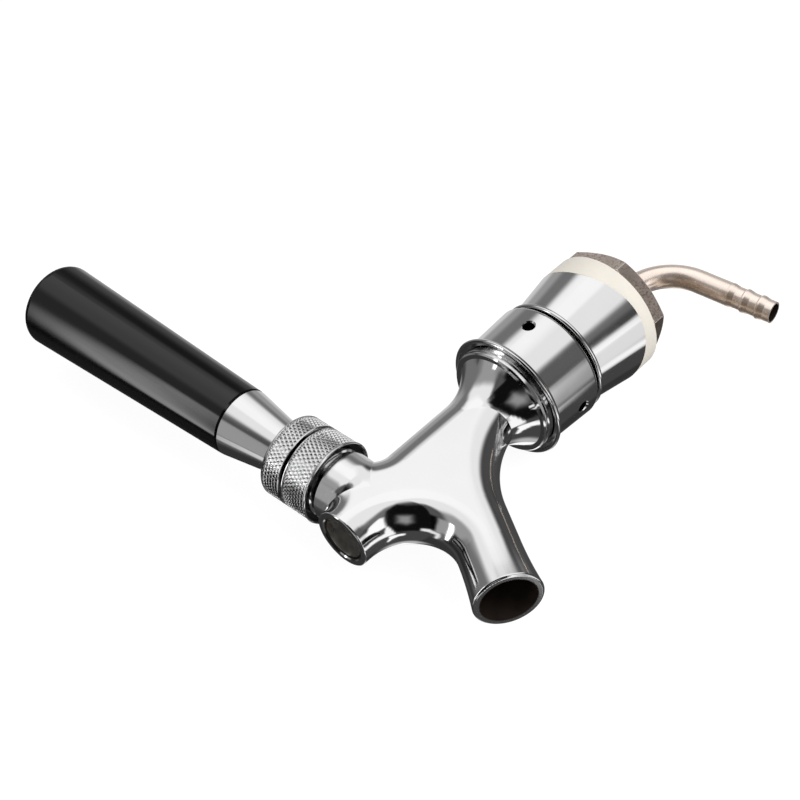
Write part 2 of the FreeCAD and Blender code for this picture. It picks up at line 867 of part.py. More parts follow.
def barb(bend_end, way, number):
    """One ridge: a slope towards the free end and a steep back."""
    front = tube_leg - barb_tip - number * barb_pitch
    face = outline(
        (barb_valley - 0.2, front - barb_length - 0.4),
        (barb_valley, front - barb_length - 0.4),
        (barb_radius, front - barb_length),
        (barb_radius, front - barb_length + 0.5),
        (barb_valley, front),
        (barb_valley - 0.2, front),
    )
    return turned(face, bend_end, way)


NODES = [
    faucet_body,
    bonnet,
    friction_washer,
    ball_washer,
    lever,
    lever_collar,
    handle_ferrule,
    handle_insert,
    handle_grip,
    shaft,
    shaft_seal,
    shaft_seat,
    seat_washer,
    shaft_nut,
    coupling_gasket,
    coupling_nut,
    shank_tube,
    wall_flange,
    wall_washer,
    lock_nut,
    elbow_tube,
]

os.makedirs("parts", exist_ok=True)
for make in NODES:
    shape = make()
    solids = shape.Solids
    if len(solids) != 1 or not shape.isValid():
        print("check", make.__name__, len(solids), shape.isValid())
    solid = solids[0]
    solid.exportStep("parts/" + make.__name__ + ".step")
    box = solid.BoundBox
    print("%-16s volume %9.1f  box %6.1f %6.1f %6.1f" % (
        make.__name__, solid.Volume, box.XLength, box.YLength, box.ZLength))
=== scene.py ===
import math

import bpy
from mathutils import Matrix, Vector
from mathutils.geometry import intersect_point_line


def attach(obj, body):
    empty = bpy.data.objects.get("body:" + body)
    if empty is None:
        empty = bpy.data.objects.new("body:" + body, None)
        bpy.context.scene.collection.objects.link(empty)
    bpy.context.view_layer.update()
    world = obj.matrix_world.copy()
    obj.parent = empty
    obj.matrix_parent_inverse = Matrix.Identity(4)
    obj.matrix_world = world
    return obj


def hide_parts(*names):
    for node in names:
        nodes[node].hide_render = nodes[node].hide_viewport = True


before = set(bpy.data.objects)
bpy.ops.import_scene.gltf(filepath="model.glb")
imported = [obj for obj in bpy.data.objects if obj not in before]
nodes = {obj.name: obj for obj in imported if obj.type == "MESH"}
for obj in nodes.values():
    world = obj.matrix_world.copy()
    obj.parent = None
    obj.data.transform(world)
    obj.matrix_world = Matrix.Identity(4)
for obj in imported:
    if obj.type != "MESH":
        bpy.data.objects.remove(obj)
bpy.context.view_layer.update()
print("faucet frame loaded:", len(nodes), "pieces")

# Camera: stands where the photograph was taken from, the faucet on its side on a table
camera = {
    "place": (0.351354, -0.277382, -0.229736),
    "right": (-0.0864899, 0.6829403, -0.7253358),
    "down": (-0.6866156, -0.5683977, -0.4533024),
    "ahead": (-0.7218577, 0.4588207, 0.5180781),
    "focalPixels": 1749.1, "widthPixels": 800, "sensor": 36, "nearest": 0.01, "farthest": 20,
}
camData = bpy.data.cameras.new("photoCamera")
camObj = bpy.data.objects.new("photoCamera", camData)
bpy.context.scene.collection.objects.link(camObj)
right, down, ahead = (Vector(camera[k]) for k in ("right", "down", "ahead"))
turn = Matrix((right, -down, -ahead)).transposed()
camObj.matrix_world = Matrix.Translation(camera["place"]) @ turn.to_4x4()
camData.sensor_width = camera["sensor"]
camData.lens = camera["focalPixels"] * camera["sensor"] / camera["widthPixels"]
camData.clip_start, camData.clip_end = camera["nearest"], camera["farthest"]
bpy.context.scene.camera = camObj
bpy.context.scene.view_settings.view_transform = "Standard"
print("camera placed")

# Axes that the pieces are turned about, in metres, in the frame's own coordinates
neckLean = math.radians(1.26)
spoutLean = math.radians(31)
legLean = math.radians(84.25)
bend = {"start": 0.0201, "radius": 0.0152}
origin = Vector((0, 0, 0))
centre = Vector((0, -0.045, 0.035))
neckFoot = Vector((0, -0.0868, 0))
neckWay = Vector((0, -math.sin(neckLean), math.cos(neckLean)))
spoutFoot = Vector((0, -0.0594, 0))
spoutWay = Vector((0, -math.sin(spoutLean), -math.cos(spoutLean)))
shankWay = Vector((0, 1, 0))
legFoot = Vector((0, bend["start"] + bend["radius"] * math.sin(legLean),
                  bend["radius"] * (math.cos(legLean) - 1)))
legWay = Vector((0, math.cos(legLean), -math.sin(legLean)))


def link(name, data):
    obj = bpy.data.objects.new(name, data)
    bpy.context.scene.collection.objects.link(obj)
    return obj


def grey(level):
    return (level, level, level, 1)


class Finish:
    # small helper that lays out a material's nodes
    def __init__(self, name):
        self.mat = bpy.data.materials.new(name)
        self.mat.use_nodes = True
        self.tree = self.mat.node_tree
        self.shader = self.tree.nodes["Principled BSDF"]
        self.coords = self.node("ShaderNodeTexCoord").outputs["Object"]

    def node(self, kind, inputs=None, **settings):
        made = self.tree.nodes.new(kind)
        for key, value in settings.items():
            setattr(made, key, value)
        for key, value in (inputs or {}).items():
            self.put(made.inputs[key], value)
        return made

    def put(self, socket, value):
        if isinstance(value, bpy.types.NodeSocket):
            self.tree.links.new(value, socket)
        else:
            socket.default_value = value

    def set(self, **values):
        for key, value in values.items():
            self.put(self.shader.inputs[key.replace("_", " ")], value)

    def noise(self, scale, detail=2, roughness=0.5, stretch=(1, 1, 1)):
        place = self.node("ShaderNodeMapping", {"Vector": self.coords, "Scale": stretch})
        return self.node("ShaderNodeTexNoise", {
            "Vector": place.outputs[0], "Scale": scale, "Detail": detail,
            "Roughness": roughness}).outputs["Fac"]

    def rings(self, station, scale, detail):
        # turning marks: noise that changes along one length only
        place = self.node("ShaderNodeCombineXYZ", {"X": station})
        return self.node("ShaderNodeTexNoise", {
            "Vector": place.outputs[0], "Scale": scale, "Detail": detail}).outputs["Fac"]

    def math(self, operation, a, b=0.0, clamp=False):
        n = self.node("ShaderNodeMath", {0: a, 1: b}, operation=operation)
        n.use_clamp = clamp
        return n.outputs[0]

    def spread(self, value, low, high, toLow=0.0, toHigh=1.0):
        return self.node("ShaderNodeMapRange", {
            "Value": value, "From Min": low, "From Max": high,
            "To Min": toLow, "To Max": toHigh}).outputs["Result"]

    def polish(self, noise, look):
        # roughness between the two limits of a finish; most of a noise lies from 0.3 to 0.7
        return self.spread(noise, 0.3, 0.7, look["roughLow"], look["roughHigh"])

    def blend(self, share, first, second):
        mix = self.node("ShaderNodeMix", data_type="RGBA")
        self.put(mix.inputs["Factor"], share)
        self.put(mix.inputs["A"], first)
        self.put(mix.inputs["B"], second)
        return mix.outputs["Result"]

    def bump(self, height, distance, strength=1.0, under=None):
        values = {"Height": height, "Distance": distance, "Strength": strength}
        if under is not None:
            values["Normal"] = under
        return self.node("ShaderNodeBump", values).outputs["Normal"]

    def vector(self, operation, first, second=None):
        inputs = {0: first} if second is None else {0: first, 1: second}
        return self.node("ShaderNodeVectorMath", inputs, operation=operation).outputs

    def normal(self):
        return self.node("ShaderNodeNewGeometry").outputs["Normal"]

    def rounded(self, radius, samples):
        return self.node("ShaderNodeBevel", {"Radius": radius}, samples=samples).outputs["Normal"]

    def dot(self, first, second):
        return self.vector("DOT_PRODUCT", first, second)["Value"]

    def offAxis(self, foot, way):
        # distance of the surface from a straight axis
        arm = self.vector("SUBTRACT", self.coords, tuple(foot))[0]
        return self.vector("LENGTH", self.vector("CROSS_PRODUCT", arm, tuple(way))[0])["Value"]

    def alongAxis(self, foot, way):
        return self.dot(self.vector("SUBTRACT", self.coords, tuple(foot))[0], tuple(way))

    def near(self, foot, way, radius):
        return self.math("LESS_THAN", self.offAxis(foot, way), radius)

    def beyond(self, foot, way, length):
        return self.math("GREATER_THAN", self.alongAxis(foot, way), length)

    def both(self, first, second):
        return self.math("MULTIPLY", first, second)


# In the finishes a noise is (scale, detail, roughness) and a bump is (height in metres, strength).
# A share is (from, to) in a noise or a direction, with its own two ends where they aren't 0 and 1.

# Polished chrome of the cast body; the inside of its bores is raw, dull metal, coloured near-black as
# painted shade
castChrome = {
    "dark": 0.83, "light": 0.88, "roughLow": 0.05, "roughHigh": 0.10, "smudge": (55, 4, 0.6),
    "swell": (70, 1, 0.4), "swellBump": (0.00022, 0.30), "grain": (1500, 2), "grainBump": (0.00001, 0.20),
    # the flat sides, by how far they face sideways, and how wide their edges are polished round
    "flatShare": (0.80, 0.97), "crown": 0.0020, "crownFade": 0.0006, "crownSamples": 16,
    "spoutBore": 0.0079, "spoutBoreFrom": 0.017, "barrelBore": 0.00663, "barrelWall": 0.0068,
    "boreDark": (0.006, 0.005, 0.004, 1), "boreLight": (0.035, 0.024, 0.018, 1), "boreGrit": (300, 3),
    "boreRough": 0.5, "boreMetal": 0.25,
}


def castFinish():
    f = Finish("polishedCastChrome")
    smudge = f.noise(*castChrome["smudge"])
    inSpout = f.both(f.near(spoutFoot, spoutWay, castChrome["spoutBore"]),
                     f.beyond(spoutFoot, spoutWay, castChrome["spoutBoreFrom"]))
    inside = f.math("MAXIMUM", inSpout, f.near(origin, shankWay, castChrome["barrelBore"]))
    tone = f.blend(smudge, grey(castChrome["dark"]), grey(castChrome["light"]))
    # painted shade: the bores are coloured near-black, over a rougher, less metallic raw finish
    rawShadedBore = f.blend(f.noise(*castChrome["boreGrit"]), castChrome["boreDark"], castChrome["boreLight"])
    dullAndShaded = f.math("MULTIPLY", inside, castChrome["boreRough"])
    f.set(Base_Color=f.blend(inside, tone, rawShadedBore),
          Metallic=f.spread(inside, 0, 1, 1.0, castChrome["boreMetal"]),
          Roughness=f.math("ADD", f.polish(smudge, castChrome), dullAndShaded))
    # the flat sides are polished slightly round towards their edges, but not through to the bores
    plain = f.normal()
    sideways = f.math("ABSOLUTE", f.dot(plain, (1, 0, 0)))
    share = f.spread(sideways, *castChrome["flatShare"])
    for foot, way, bore in ((spoutFoot, spoutWay, castChrome["spoutBore"]),
                            (origin, shankWay, castChrome["barrelWall"])):
        wall = bore + castChrome["crown"]
        share = f.both(share, f.spread(f.offAxis(foot, way), wall, wall + castChrome["crownFade"]))
    edged = f.rounded(castChrome["crown"], castChrome["crownSamples"])
    mix = f.node("ShaderNodeMix", data_type="VECTOR")
    for socket, value in (("Factor", share), ("A", plain), ("B", edged)):
        f.put(next(i for i in mix.inputs if i.name == socket and i.enabled), value)
    crowned = f.vector("NORMALIZE", next(o for o in mix.outputs if o.enabled))[0]
    swell = f.bump(f.noise(*castChrome["swell"]), *castChrome["swellBump"], crowned)
    f.set(Normal=f.bump(f.noise(*castChrome["grain"]), *castChrome["grainBump"], swell))
    return f.mat


# Turned pieces, each with its own tone, polish, turning rings and slow waves
turning = {"smudge": (90, 4, 0.6), "rings": (3000, 2), "waves": (60, 1, 0.4)}
plating = {
    "nutChrome": {"dark": 0.80, "light": 0.86, "roughLow": 0.05, "roughHigh": 0.11,
                  "ringBump": (0.000006, 0.3), "waveBump": (0.00006, 0.3)},
    "flangeChrome": {"dark": 0.80, "light": 0.86, "roughLow": 0.05, "roughHigh": 0.10,
                     "ringBump": (0.000006, 0.3), "waveBump": (0.00006, 0.3)},
    "ferruleChrome": {"dark": 0.80, "light": 0.86, "roughLow": 0.05, "roughHigh": 0.10,
                      "ringBump": (0.000006, 0.3), "waveBump": (0.00003, 0.3)},
    "leverSteel": {"dark": 0.56, "light": 0.62, "roughLow": 0.20, "roughHigh": 0.32,
                   "ringBump": (0.00004, 0.3), "waveBump": (0.00004, 0.3)},
}

# The coupling nut's two pairs of blind spanner holes, dull inside and painted near-black there as shade
spannerHoles = {"station": -0.023, "angles": (4, 83.5), "radius": 0.00172, "nutRadius": 0.0178,
                "tone": 0.008, "rough": 0.5}


def platedFinish(name, foot, way, holes=None):
    look = plating[name]
    f = Finish(name)
    smudge = f.noise(*turning["smudge"])
    marks = f.rings(f.alongAxis(foot, way), *turning["rings"])
    tone = f.blend(smudge, grey(look["dark"]), grey(look["light"]))
    rough = f.polish(smudge, look)
    for angle in holes["angles"] if holes else ():
        holeWay = (math.cos(math.radians(angle)), 0, math.sin(math.radians(angle)))
        inHole = f.both(f.near((0, holes["station"], 0), holeWay, holes["radius"]),
                        f.near(foot, way, holes["nutRadius"]))
        # painted shade: the inside of each hole is coloured near-black
        tone = f.blend(inHole, tone, grey(holes["tone"]))
        rough = f.math("ADD", rough, f.math("MULTIPLY", inHole, holes["rough"]))
    swell = f.bump(f.noise(*turning["waves"]), *look["waveBump"])
    f.set(Base_Color=tone, Metallic=1.0, Roughness=rough, Normal=f.bump(marks, *look["ringBump"], swell))
    return f.mat


# Knurled chrome; the recess under the bonnet, round the neck, is painted dark grey as shade
knurlSteel = {
    "dark": 0.84, "light": 0.96, "roughLow": 0.08, "roughHigh": 0.17, "wear": (1400, 3, 0.6),
    "wearBump": (0.00003, 0.25), "recess": 0.10, "recessRadius": 0.01188, "recessTop": 0.0157,
}


def knurlFinish():
    f = Finish("knurledChrome")
    wear = f.noise(*knurlSteel["wear"])
    below = f.math("LESS_THAN", f.alongAxis(neckFoot, neckWay), knurlSteel["recessTop"])
    # painted shade: the recess round the neck is coloured dark grey
    recess = f.both(f.near(neckFoot, neckWay, knurlSteel["recessRadius"]), below)
    shine = f.blend(wear, grey(knurlSteel["dark"]), grey(knurlSteel["light"]))
    f.set(Base_Color=f.blend(recess, shine, grey(knurlSteel["recess"])), Metallic=1.0,
          Roughness=f.polish(wear, knurlSteel), Normal=f.bump(wear, *knurlSteel["wearBump"]))
    return f.mat


# Dull plain steel of the sliding shaft, with the turning marks on its face
shaftSteel = {
    "dark": (0.30, 0.28, 0.25, 1), "light": (0.58, 0.55, 0.50, 1), "roughLow": 0.26, "roughHigh": 0.40,
    "blotch": (420, 4, 0.6), "blotchBump": (0.00006, 0.2), "rings": (4200, 1), "ringBump": (0.00003, 0.35),
}


def shaftFinish():
    f = Finish("dullShaftSteel")
    blotch = f.noise(*shaftSteel["blotch"])
    marks = f.rings(f.offAxis(origin, shankWay), *shaftSteel["rings"])
    pitted = f.bump(blotch, *shaftSteel["blotchBump"])
    f.set(Base_Color=f.blend(blotch, shaftSteel["dark"], shaftSteel["light"]), Metallic=1.0,
          Roughness=f.polish(blotch, shaftSteel), Normal=f.bump(marks, *shaftSteel["ringBump"], pitted))
    return f.mat


# Nickel of the big hex nut: satin with fine dark specks, painted darker below as shade, corners rubbed
# bright and painted as highlights
nutNickel = {
    "base": (1.0, 0.86, 0.77, 1), "speck": (0.30, 0.225, 0.18, 1), "bright": (1.0, 0.95, 0.90, 1),
    "paintedShade": (0.20, 0.15, 0.115, 1), "lowShare": (-1.0, -0.35, 0.70, 0),
    "cloud": (160, 5, 0.65), "cloudBump": (0.0002, 0.12), "cloudShare": (0.36, 0.60, 0.25, 0.85),
    "fleck": (1500, 3, 0.75), "fleckBump": (0.00005, 0.35), "fleckShare": (0.50, 0.58),
    "roughLow": 0.28, "roughHigh": 0.46, "metal": 0.94, "cornerMetal": 0.45,
    "wear": 0.0004, "wearSamples": 8, "wornHighlitShare": (0.90, 0.99, 1, 0),
    "bevel": 0.00022, "bevelSegments": 2, "bevelAngle": 35,
}


def lockNutFinish():
    f = Finish("speckledNickel")
    cloud = f.noise(*nutNickel["cloud"])
    fleck = f.noise(*nutNickel["fleck"])
    specks = f.math("MULTIPLY", f.spread(fleck, *nutNickel["fleckShare"]),
                    f.spread(cloud, *nutNickel["cloudShare"]), True)
    skin = f.blend(specks, nutNickel["base"], nutNickel["speck"])
    # painted shade: the facets that face down are coloured darker
    below = f.spread(f.dot(f.normal(), (0, 0, 1)), *nutNickel["lowShare"])
    skin = f.blend(below, skin, nutNickel["paintedShade"])
    # a corner is where the rounded normal leaves the true one
    same = f.dot(f.rounded(nutNickel["wear"], nutNickel["wearSamples"]), f.normal())
    # corners are rubbed bright, and their pale, less metallic colour is also a painted highlight
    wornAndHighlit = f.spread(same, *nutNickel["wornHighlitShare"])
    f.set(Base_Color=f.blend(wornAndHighlit, skin, nutNickel["bright"]),
          Metallic=f.spread(wornAndHighlit, 0, 1, nutNickel["metal"], nutNickel["cornerMetal"]),
          Roughness=f.polish(cloud, nutNickel),
          Normal=f.bump(fleck, *nutNickel["fleckBump"], f.bump(cloud, *nutNickel["cloudBump"])))
    return f.mat


# Champagne nickel of the elbow tube, painted darker as shade on the inner side of the bend, and painted
# near-black as shade inside its bore
elbowNickel = {
    "base": (1.0, 0.87, 0.78, 1), "shade": (0.96, 0.82, 0.73, 1), "metal": 0.80,
    "cloud": (240, 4, 0.6), "grain": (900, 3), "grainBump": (0.00003, 0.18),
    "roughLow": 0.19, "roughHigh": 0.32,
    "paintedShade": (0.60, 0.45, 0.34, 1), "shadedFacing": (0.175, -0.868, -0.465),
    "sideShare": (0.66, 0.95), "cloudShare": (0.35, 0.65, -0.25, 0.25), "edgeShare": (0.60, 0.72),
    "bore": (0.05, 0.035, 0.026, 1), "boreRadius": 0.0028, "boreFrom": 0.003, "boreRough": 0.3,
}


def elbowFinish():
    f = Finish("champagneNickel")
    cloud = f.noise(*elbowNickel["cloud"])
    inside = f.both(f.near(legFoot, legWay, elbowNickel["boreRadius"]),
                    f.beyond(legFoot, legWay, elbowNickel["boreFrom"]))
    skin = f.blend(cloud, elbowNickel["base"], elbowNickel["shade"])
    # painted shade: where the tube faces in towards the bend and the nut it is coloured darker brown, varied
    # by a noise
    facing = f.dot(f.normal(), elbowNickel["shadedFacing"])
    dullAndShaded = f.math("ADD", f.spread(facing, *elbowNickel["sideShare"]),
                  f.spread(cloud, *elbowNickel["cloudShare"]), True)
    dullAndShaded = f.both(dullAndShaded, f.spread(facing, *elbowNickel["edgeShare"]))
    skin = f.blend(dullAndShaded, skin, elbowNickel["paintedShade"])
    # painted shade: the inside of the leg's bore is coloured near-black
    boreRough = f.math("MULTIPLY", inside, elbowNickel["boreRough"])
    f.set(Base_Color=f.blend(inside, skin, elbowNickel["bore"]), Metallic=elbowNickel["metal"],
          Roughness=f.math("ADD", f.polish(cloud, elbowNickel), boreRough),
          Normal=f.bump(f.noise(*elbowNickel["grain"]), *elbowNickel["grainBump"]))
    return f.mat


# Brass: raw on the small inside pieces, under thin nickel on the shank
brassSkin = {"cloud": (300, 4, 0.6), "cloudBump": (0.00008, 0.25)}
brasses = {
    "turnedBrass": {"base": (0.62, 0.44, 0.18, 1), "shade": (0.48, 0.32, 0.12, 1),
                    "roughLow": 0.22, "roughHigh": 0.38},
    "nickelledShank": {"base": (0.60, 0.54, 0.44, 1), "shade": (0.46, 0.40, 0.32, 1),
                       "roughLow": 0.20, "roughHigh": 0.36},
}


def brassFinish(name):
    look = brasses[name]
    f = Finish(name)
    cloud = f.noise(*brassSkin["cloud"])
    f.set(Base_Color=f.blend(cloud, look["base"], look["shade"]), Metallic=1.0,
          Roughness=f.polish(cloud, look), Normal=f.bump(cloud, *brassSkin["cloudBump"]))
    return f.mat


# Black lacquered handle, faint lengthwise streaks under the gloss
gripLacquer = {
    "base": (0.0008, 0.0008, 0.0009, 1), "streak": (0.0030, 0.0027, 0.0028, 1),
    "roughLow": 0.05, "roughHigh": 0.17, "streaks": (260, 4, 0.6, (1, 1, 0.05)),
    "streakBump": (0.00002, 0.20), "grain": (2600, 2), "grainBump": (0.000004, 0.2),
}


def gripFinish():
    f = Finish("blackLacquer")
    streak = f.noise(*gripLacquer["streaks"])
    grain = f.bump(f.noise(*gripLacquer["grain"]), *gripLacquer["grainBump"])
    f.set(Base_Color=f.blend(streak, gripLacquer["base"], gripLacquer["streak"]), Metallic=0.0,
          Roughness=f.polish(streak, gripLacquer),
          Normal=f.bump(streak, *gripLacquer["streakBump"], grain))
    return f.mat


# Nylon, faintly cloudy: the white cups inside and the cream washer
nylonSkin = {
    "cloud": (120, 4, 0.6), "grain": (1300, 3), "grainBump": (0.00004, 0.25),
    "scatter": 0.12, "scatterRadius": (0.003, 0.002, 0.001), "scatterScale": 0.4,
}
nylons = {
    "whiteCupNylon": {"base": (0.80, 0.79, 0.75, 1), "shade": (0.72, 0.71, 0.66, 1),
                      "roughLow": 0.34, "roughHigh": 0.48},
    "creamWasher": {"base": (0.67, 0.635, 0.575, 1), "shade": (0.60, 0.565, 0.50, 1),
                    "roughLow": 0.36, "roughHigh": 0.50},
}


def nylonFinish(name):
    look = nylons[name]
    f = Finish(name)
    cloud = f.noise(*nylonSkin["cloud"])
    f.set(Base_Color=f.blend(cloud, look["base"], look["shade"]), Roughness=f.polish(cloud, look),
          Subsurface_Weight=nylonSkin["scatter"], Subsurface_Radius=nylonSkin["scatterRadius"],
          Subsurface_Scale=nylonSkin["scatterScale"],
          Normal=f.bump(f.noise(*nylonSkin["grain"]), *nylonSkin["grainBump"]))
    return f.mat


# Black rubber of the seals and the gasket
sealRubber = {
    "dark": 0.012, "light": 0.030, "roughLow": 0.5, "roughHigh": 0.7,
    "cloud": (500, 4, 0.6), "cloudBump": (0.00006, 0.3),
}


def rubberFinish():
    f = Finish("sealRubber")
    cloud = f.noise(*sealRubber["cloud"])
    f.set(Base_Color=f.blend(cloud, grey(sealRubber["dark"]), grey(sealRubber["light"])),
          Roughness=f.polish(cloud, sealRubber), Normal=f.bump(cloud, *sealRubber["cloudBump"]))
    return f.mat


brass = brassFinish("turnedBrass")
shankBrass = brassFinish("nickelledShank")
cupNylon = nylonFinish("whiteCupNylon")
rubber = rubberFinish()
knurled = knurlFinish()
finishes = {
    "faucet_body": castFinish(),
    "coupling_nut": platedFinish("nutChrome", origin, shankWay, spannerHoles),
    "wall_flange": platedFinish("flangeChrome", origin, shankWay),
    "handle_ferrule": platedFinish("ferruleChrome", neckFoot, neckWay),
    "lever": platedFinish("leverSteel", neckFoot, neckWay),
    "lock_nut": lockNutFinish(),
    "elbow_tube": elbowFinish(),
    "shank_tube": shankBrass,
    "wall_washer": nylonFinish("creamWasher"),
    "handle_grip": gripFinish(),
    "shaft": shaftFinish(),
    "handle_insert": brass,
    "seat_washer": brass,
    "shaft_nut": brass,
    "friction_washer": cupNylon,
    "ball_washer": cupNylon,
    "coupling_gasket": rubber,
    "shaft_seal": rubber,
    "shaft_seat": rubber,
}
for name, made in finishes.items():
    nodes[name].data.materials.clear()
    nodes[name].data.materials.append(made)
corners = nodes["lock_nut"].modifiers.new("wornCorners", "BEVEL")
corners.width, corners.segments = nutNickel["bevel"], nutNickel["bevelSegments"]
corners.limit_method, corners.angle_limit = "ANGLE", math.radians(nutNickel["bevelAngle"])
print("finishes made:", len(finishes) + 1)


mm = 0.001  # the turned pieces are sized in millimetres


def turnedMesh(name, rings, sides, foot, way, cutAt):
    # rings are (radius, height) pairs in mm round a closed outline; cutAt adds to the radius, in mm
    acrossA = way.orthogonal().normalized()
    acrossB = way.cross(acrossA)
    points, faces = [], []
    for i, (radius, height) in enumerate(rings):
        for j in range(sides):
            angle = 2 * math.pi * j / sides
            out = acrossA * math.cos(angle) + acrossB * math.sin(angle)
            points.append(foot + way * (height * mm) + out * ((radius + cutAt(i, j)) * mm))
    for i in range(len(rings)):
        nextRing = (i + 1) % len(rings)
        for j in range(sides):
            k = (j + 1) % sides
            faces.append((i * sides + j, i * sides + k, nextRing * sides + k, nextRing * sides + j))
    mesh = bpy.data.meshes.new(name)
    mesh.from_pydata(points, [], faces)
    mesh.validate()
    mesh.update()
    return link(name, mesh)


# Diamond knurl rolled into the bonnet and the collar, sizes in mm
knurl = {"teeth": 60, "stepsPerTooth": 10, "rowsPerTooth": 12, "depth": 0.42, "blunt": 1.25, "longer": 1.6,
         "chamfer": 0.35}


def knurledPiece(name, node, body, under, over):
    # under and over: (radius, height) points of a closed outline before and after the knurled run
    radius, low = under[-1]
    high = over[0][1]
    pitch = 2 * math.pi * radius / knurl["teeth"] * knurl["longer"]
    rows = round((high - low) / pitch * knurl["rowsPerTooth"])
    run = [(radius, low + (high - low) * k / rows) for k in range(1, rows)]
    rings = under + run + over

    def tooth(i, j):
        if not len(under) <= i < len(under) + len(run):
            return 0
        height = rings[i][1] - low
        left = j / knurl["stepsPerTooth"] + height / pitch
        right = j / knurl["stepsPerTooth"] - height / pitch
        rise = min(1, knurl["blunt"] * min(abs(left % 1 * 2 - 1), abs(right % 1 * 2 - 1)))
        edge = min(1, height / knurl["chamfer"], (high - low - height) / knurl["chamfer"])
        return -knurl["depth"] * (1 - rise) * edge

    obj = turnedMesh(name, rings, knurl["teeth"] * knurl["stepsPerTooth"], neckFoot, neckWay, tooth)
    obj.data.materials.append(knurled)
    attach(obj, body)
    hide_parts(node)


def arcPoints(radius, middle, start, end, count):
    return [(radius * math.cos(a), middle + radius * math.sin(a))
            for a in (start + (end - start) * k / count for k in range(count + 1))]


# Bonnet outline in mm, as in the CAD piece: recess, beaded lip, knurled run, dome over the ball
bonnet = {"radius": 12.2, "lip": 12.4, "lipLength": 0.5, "lipEase": 0.12, "base": 14.5, "top": 23.5,
          "groove": 0.22, "grooveFrom": 0.02, "grooveTo": 0.22, "knurlFrom": 0.28, "knurlShort": 0.15,
          "recess": 11.4, "recessDepth": 0.9, "thread": 10.02, "roof": 22.56, "roofHole": 7.65,
          "pivot": 16.0, "hole": 8.60, "domePoints": 10,
          # front beads: distance out from the recess or in from the lip, and height over the base
          "recessBead": ((0.06, 0.55), (0.14, 0.42), (0.24, 0.42), (0.32, 0.55)),
          "lipBead": ((0.50, 0.60), (0.44, 0.12), (0.34, 0.01), (0.18, 0.03), (0.05, 0.14), (0, 0.28))}
domeRadius = math.hypot(bonnet["radius"], bonnet["top"] - bonnet["pivot"])
domeFrom = math.atan2(bonnet["top"] - bonnet["pivot"], bonnet["radius"])
domeTo = math.acos(bonnet["hole"] / domeRadius)
lipTop = bonnet["base"] + bonnet["lipLength"]
bonnetUnder = [
    *[(bonnet["recess"] + out, bonnet["base"] + up) for out, up in bonnet["recessBead"]],
    *[(bonnet["lip"] - back, bonnet["base"] + up) for back, up in bonnet["lipBead"]],
    (bonnet["lip"], lipTop - bonnet["lipEase"]),
    (bonnet["lip"] - bonnet["lipEase"], lipTop),
    (bonnet["radius"] - bonnet["groove"], lipTop + bonnet["grooveFrom"]),
    (bonnet["radius"] - bonnet["groove"], lipTop + bonnet["grooveTo"]),
    (bonnet["radius"], lipTop + bonnet["knurlFrom"]),
]
bonnetOver = [
    (bonnet["radius"], bonnet["top"] - bonnet["knurlShort"]),
    *arcPoints(domeRadius, bonnet["pivot"], domeFrom, domeTo, bonnet["domePoints"]),
    (bonnet["roofHole"], bonnet["roof"]),
    (bonnet["thread"], bonnet["roof"]),
    (bonnet["thread"], bonnet["base"] + bonnet["recessDepth"]),
    (bonnet["recess"], bonnet["base"] + bonnet["recessDepth"]),
]
knurledPiece("knurled_bonnet", "bonnet", "tap", bonnetUnder, bonnetOver)

# Collar outline in mm: hollow underside round the dome, rounded top edge
collar = {"radius": 12.2, "top": 31.7, "hole": 4.78, "gap": 0.5, "edge": 0.25, "hollowPoints": 14,
          "rimBack": 0.05, "rimUp": 0.25, "knurlFrom": 0.45, "round": 0.9, "roundFrom": 15, "roundPoints": 5}
hollow = domeRadius + collar["gap"]
hollowFrom = math.acos(collar["hole"] / hollow)
hollowTo = math.acos((collar["radius"] - collar["edge"]) / hollow)
rimHeight = bonnet["pivot"] + math.sqrt(hollow ** 2 - collar["radius"] ** 2)
shoulder = collar["top"] - collar["round"]
shoulderArc = arcPoints(collar["round"], shoulder, math.radians(collar["roundFrom"]), math.pi / 2,
                        collar["roundPoints"])
collarUnder = [
    *arcPoints(hollow, bonnet["pivot"], hollowFrom, hollowTo, collar["hollowPoints"]),
    (collar["radius"] - collar["rimBack"], rimHeight + collar["rimUp"]),
    (collar["radius"], rimHeight + collar["knurlFrom"]),
]
collarOver = [
    (collar["radius"], shoulder),
    *[(r + collar["radius"] - collar["round"], h) for r, h in shoulderArc],
    (collar["hole"], collar["top"]),
]
knurledPiece("knurled_collar", "lever_collar", "lever", collarUnder, collarOver)
print("knurled bonnet and collar made")

# Shank with its rolled thread, sizes in mm; stations run along the shank from the wall
shank = {"mouth": 8.0, "mouthBack": -17.4, "cone": -11.4, "head": 14.3, "gasket": -25.4, "headBack": -20.5,
         "step": 12.5, "seat": -10.4, "outer": 11.11, "tail": 16.6, "edge": 0.8, "socket": 3.52,
         "socketFloor": 6.6, "bore": 2.7, "runOut": 0.3, "pitch": 1.81, "depth": 0.85, "flank": 1.12,
         "fadeIn": 0.8, "fadeOut": 0.4, "endDepth": 0.15, "rowsPerTurn": 12, "sides": 96}


